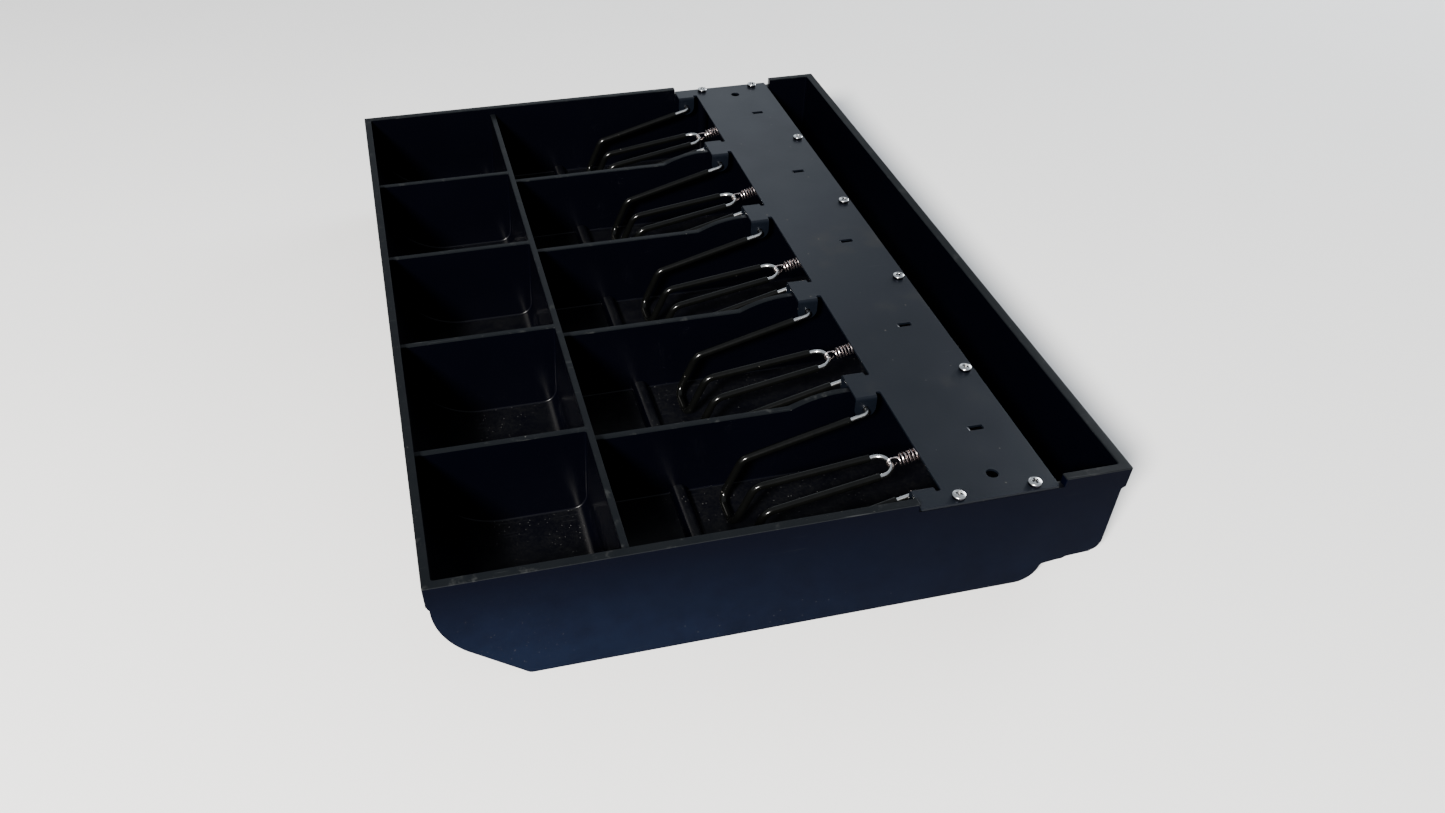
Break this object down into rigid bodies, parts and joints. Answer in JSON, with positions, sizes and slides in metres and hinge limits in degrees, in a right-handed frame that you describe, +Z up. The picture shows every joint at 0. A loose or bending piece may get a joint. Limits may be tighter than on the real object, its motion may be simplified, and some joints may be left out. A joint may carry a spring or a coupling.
{
  "type": "cash drawer till tray",
  "caption": "Moulded till tray for a cash drawer, with scooped coin wells, note bays under a steel plate, sprung wire note clips and a back channel.",
  "frame": {"origin": "under the middle of the tray, at the level of the runners' feet that it stands on", "axes": "+X along the tray's length, across the five wells; +Y from the coin wells to the back channel; +Z up"},
  "size_m": [0.375, 0.2706, 0.056],
  "materials": {
    "moulding": "black moulded ABS, satin outside and glossy in the wells",
    "plate": "black powder coat, satin",
    "zinc": "bright zinc plate",
    "sleeve": "black satin plastic tubing",
    "spring": "bright spring steel"
  },
  "bodies": {
    "tray_body": {"tray": "moulding", "retainer_plate": "plate", "plate_screw_left_front": "zinc", "plate_screw_left_back": "zinc", "plate_screw_right_front": "zinc", "plate_screw_right_back": "zinc", "plate_screw_divider_1": "zinc", "plate_screw_divider_2": "zinc", "plate_screw_divider_3": "zinc", "plate_screw_divider_4": "zinc"},
    "clip_1": {"clip_wire_1": "zinc", "clip_sleeve_1_left": "sleeve", "clip_sleeve_1_right": "sleeve"},
    "spring_1_coil": {"spring_1": "spring"},
    "spring_1_front": {"spring_hook_1": "spring"},
    "clip_2": {"clip_wire_2": "zinc", "clip_sleeve_2_left": "sleeve", "clip_sleeve_2_right": "sleeve"},
    "spring_2_coil": {"spring_2": "spring"},
    "spring_2_front": {"spring_hook_2": "spring"},
    "clip_3": {"clip_wire_3": "zinc", "clip_sleeve_3_left": "sleeve", "clip_sleeve_3_right": "sleeve"},
    "spring_3_coil": {"spring_3": "spring"},
    "spring_3_front": {"spring_hook_3": "spring"},
    "clip_4": {"clip_wire_4": "zinc", "clip_sleeve_4_left": "sleeve", "clip_sleeve_4_right": "sleeve"},
    "spring_4_coil": {"spring_4": "spring"},
    "spring_4_front": {"spring_hook_4": "spring"},
    "clip_5": {"clip_wire_5": "zinc", "clip_sleeve_5_left": "sleeve", "clip_sleeve_5_right": "sleeve"},
    "spring_5_coil": {"spring_5": "spring"},
    "spring_5_front": {"spring_hook_5": "spring"}
  },
  "joints": [
    {"name": "clip_1_hinge", "type": "hinge", "parent": "tray_body", "child": "clip_1", "pos_m": [-0.14806, 0.05335, 0.0474], "axis": [-1, 0, 0], "range_deg": [0, 100], "stiffness_Nm_per_rad": 0.01, "springref_deg": -57.3, "deforming": ["spring_1", "spring_hook_1"]},
    {"name": "spring_1_swing", "type": "hinge", "parent": "tray_body", "child": "spring_1_coil", "pos_m": [-0.14806, 0.087, 0.0502], "axis": [-1, 0, 0], "range_deg": [0, 12]},
    {"name": "spring_1_stretch", "type": "slide", "parent": "spring_1_coil", "child": "spring_1_front", "axis": [0, -0.9674, -0.2531], "range_m": [0, 0.0055]},
    {"name": "clip_2_hinge", "type": "hinge", "parent": "tray_body", "child": "clip_2", "pos_m": [-0.07403, 0.05335, 0.0474], "axis": [-1, 0, 0], "range_deg": [0, 100], "stiffness_Nm_per_rad": 0.01, "springref_deg": -57.3, "deforming": ["spring_2", "spring_hook_2"]},
    {"name": "spring_2_swing", "type": "hinge", "parent": "tray_body", "child": "spring_2_coil", "pos_m": [-0.07403, 0.087, 0.0502], "axis": [-1, 0, 0], "range_deg": [0, 12]},
    {"name": "spring_2_stretch", "type": "slide", "parent": "spring_2_coil", "child": "spring_2_front", "axis": [0, -0.9674, -0.2531], "range_m": [0, 0.0055]},
    {"name": "clip_3_hinge", "type": "hinge", "parent": "tray_body", "child": "clip_3", "pos_m": [0, 0.05335, 0.0474], "axis": [-1, 0, 0], "range_deg": [0, 100], "stiffness_Nm_per_rad": 0.01, "springref_deg": -57.3, "deforming": ["spring_3", "spring_hook_3"]},
    {"name": "spring_3_swing", "type": "hinge", "parent": "tray_body", "child": "spring_3_coil", "pos_m": [0, 0.087, 0.0502], "axis": [-1, 0, 0], "range_deg": [0, 12]},
    {"name": "spring_3_stretch", "type": "slide", "parent": "spring_3_coil", "child": "spring_3_front", "axis": [0, -0.9674, -0.2531], "range_m": [0, 0.0055]},
    {"name": "clip_4_hinge", "type": "hinge", "parent": "tray_body", "child": "clip_4", "pos_m": [0.07403, 0.05335, 0.0474], "axis": [-1, 0, 0], "range_deg": [0, 100], "stiffness_Nm_per_rad": 0.01, "springref_deg": -57.3, "deforming": ["spring_4", "spring_hook_4"]},
    {"name": "spring_4_swing", "type": "hinge", "parent": "tray_body", "child": "spring_4_coil", "pos_m": [0.07403, 0.087, 0.0502], "axis": [-1, 0, 0], "range_deg": [0, 12]},
    {"name": "spring_4_stretch", "type": "slide", "parent": "spring_4_coil", "child": "spring_4_front", "axis": [0, -0.9674, -0.2531], "range_m": [0, 0.0055]},
    {"name": "clip_5_hinge", "type": "hinge", "parent": "tray_body", "child": "clip_5", "pos_m": [0.14806, 0.05335, 0.0474], "axis": [-1, 0, 0], "range_deg": [0, 100], "stiffness_Nm_per_rad": 0.01, "springref_deg": -57.3, "deforming": ["spring_5", "spring_hook_5"]},
    {"name": "spring_5_swing", "type": "hinge", "parent": "tray_body", "child": "spring_5_coil", "pos_m": [0.14806, 0.087, 0.0502], "axis": [-1, 0, 0], "range_deg": [0, 12]},
    {"name": "spring_5_stretch", "type": "slide", "parent": "spring_5_coil", "child": "spring_5_front", "axis": [0, -0.9674, -0.2531], "range_m": [0, 0.0055]}
  ],
  "couplings": [
    {"joint": "spring_1_swing", "follows": "clip_1_hinge", "ratio": 0.1152},
    {"joint": "spring_1_stretch", "follows": "clip_1_hinge", "m_per_rad": 0.00299},
    {"joint": "spring_2_swing", "follows": "clip_2_hinge", "ratio": 0.1152},
    {"joint": "spring_2_stretch", "follows": "clip_2_hinge", "m_per_rad": 0.00299},
    {"joint": "spring_3_swing", "follows": "clip_3_hinge", "ratio": 0.1152},
    {"joint": "spring_3_stretch", "follows": "clip_3_hinge", "m_per_rad": 0.00299},
    {"joint": "spring_4_swing", "follows": "clip_4_hinge", "ratio": 0.1152},
    {"joint": "spring_4_stretch", "follows": "clip_4_hinge", "m_per_rad": 0.00299},
    {"joint": "spring_5_swing", "follows": "clip_5_hinge", "ratio": 0.1152},
    {"joint": "spring_5_stretch", "follows": "clip_5_hinge", "m_per_rad": 0.00299}
  ]
}
